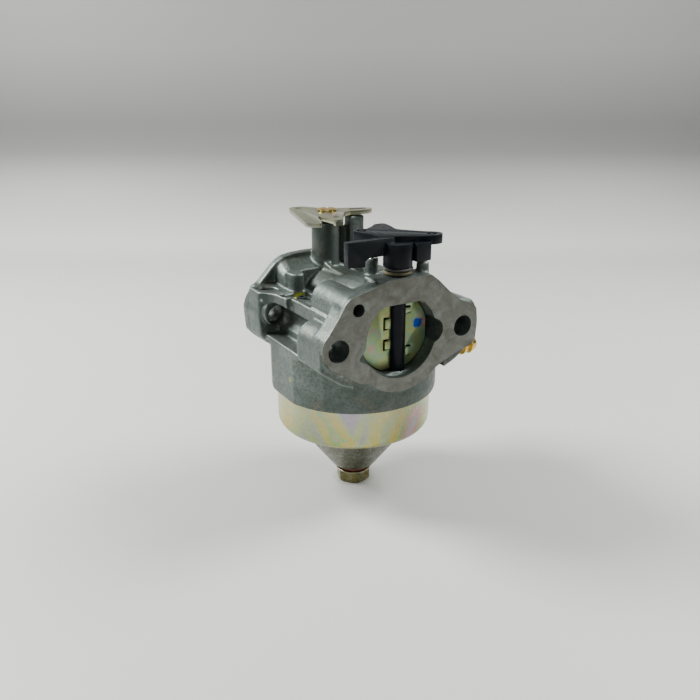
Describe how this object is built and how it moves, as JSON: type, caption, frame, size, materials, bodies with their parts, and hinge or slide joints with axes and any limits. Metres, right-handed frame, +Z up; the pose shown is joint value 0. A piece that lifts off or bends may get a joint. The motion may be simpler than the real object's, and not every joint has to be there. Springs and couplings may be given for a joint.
{
  "type": "carburetor",
  "caption": "Side-draught float carburetor of a small engine: cast body with choke and throttle on upright shafts, plated float bowl, hose spigot and jets.",
  "frame": {"origin": "centre of the bottom face of the bowl bolt, on the axis of the float bowl; the air bore's axis is 57.6 mm above it", "axes": "+Z up along the bowl axis, +Y along the air flow from the choke flange to the engine flange, +X to the fuel spigot side"},
  "size_m": [0.0657, 0.0554, 0.0878],
  "materials": {
    "die_cast_alloy": "as-cast, slightly blasted, grey-green",
    "yellow_zinc_bowl": "pressed steel, iridescent yellow zinc plate",
    "olive_zinc_bolt": "olive-yellow zinc plate",
    "pale_zinc_lever": "stamped steel, pale zinc plate",
    "choke_plate_zinc": "thin steel, pale yellow zinc plate",
    "brass": "turned brass",
    "steel": "bright steel",
    "black_plastic": "moulded, satin",
    "black_rubber": "matte",
    "red_fibre": "vulcanised fibre, dark red",
    "beige_felt": "felt",
    "dark_foam": "matte foam",
    "white_nylon": "moulded",
    "float_resin": "moulded"
  },
  "bodies": {
    "casting": {"carburetor_body": "die_cast_alloy", "float_bowl": "yellow_zinc_bowl", "bowl_bolt": "olive_zinc_bolt", "bowl_gasket": "black_rubber", "bowl_bolt_washer": "red_fibre", "choke_felt_washer": "beige_felt", "choke_seal_ring": "dark_foam", "throttle_shaft_seal": "white_nylon", "float_hinge_pin": "steel", "needle_seat": "brass", "main_jet": "brass", "main_nozzle": "brass", "pilot_jet": "black_plastic", "pilot_air_jet": "brass", "main_air_jet": "brass", "fuel_inlet_nipple": "brass", "mixture_screw_spring": "steel", "port_plug": "steel", "channel_plug": "steel"},
    "throttle": {"throttle_shaft": "brass", "throttle_lever": "pale_zinc_lever", "throttle_plate": "brass", "throttle_plate_screw_upper": "steel", "throttle_plate_screw_lower": "steel"},
    "choke": {"choke_lever": "black_plastic", "choke_plate": "choke_plate_zinc"},
    "float_arm": {"float": "float_resin"},
    "inlet_needle": {"float_needle": "steel"},
    "mixture": {"mixture_screw": "brass"}
  },
  "joints": [
    {"name": "throttle_turn", "type": "hinge", "parent": "casting", "child": "throttle", "pos_m": [0, 0.016, 0.0576], "axis": [0, 0, 1], "range_deg": [0, 75]},
    {"name": "choke_turn", "type": "hinge", "parent": "casting", "child": "choke", "pos_m": [0.0009, -0.0218, 0.0576], "axis": [0, 0, -1], "range_deg": [0, 75]},
    {"name": "float_swing", "type": "hinge", "parent": "casting", "child": "float_arm", "pos_m": [0.014, -0.014, 0.0386], "axis": [0.7071, 0.7071, 0], "range_deg": [0, 5]},
    {"name": "needle_slide", "type": "slide", "parent": "casting", "child": "inlet_needle", "axis": [0, 0, 1], "range_m": [0, 0.00046]},
    {"name": "mixture_turn", "type": "hinge", "parent": "casting", "child": "mixture", "pos_m": [0.02, 0.0072, 0.0652], "axis": [1, 0, 0], "continuous": true}
  ],
  "couplings": [
    {"joint": "needle_slide", "follows": "float_swing", "m_per_rad": 0.00523}
  ]
}
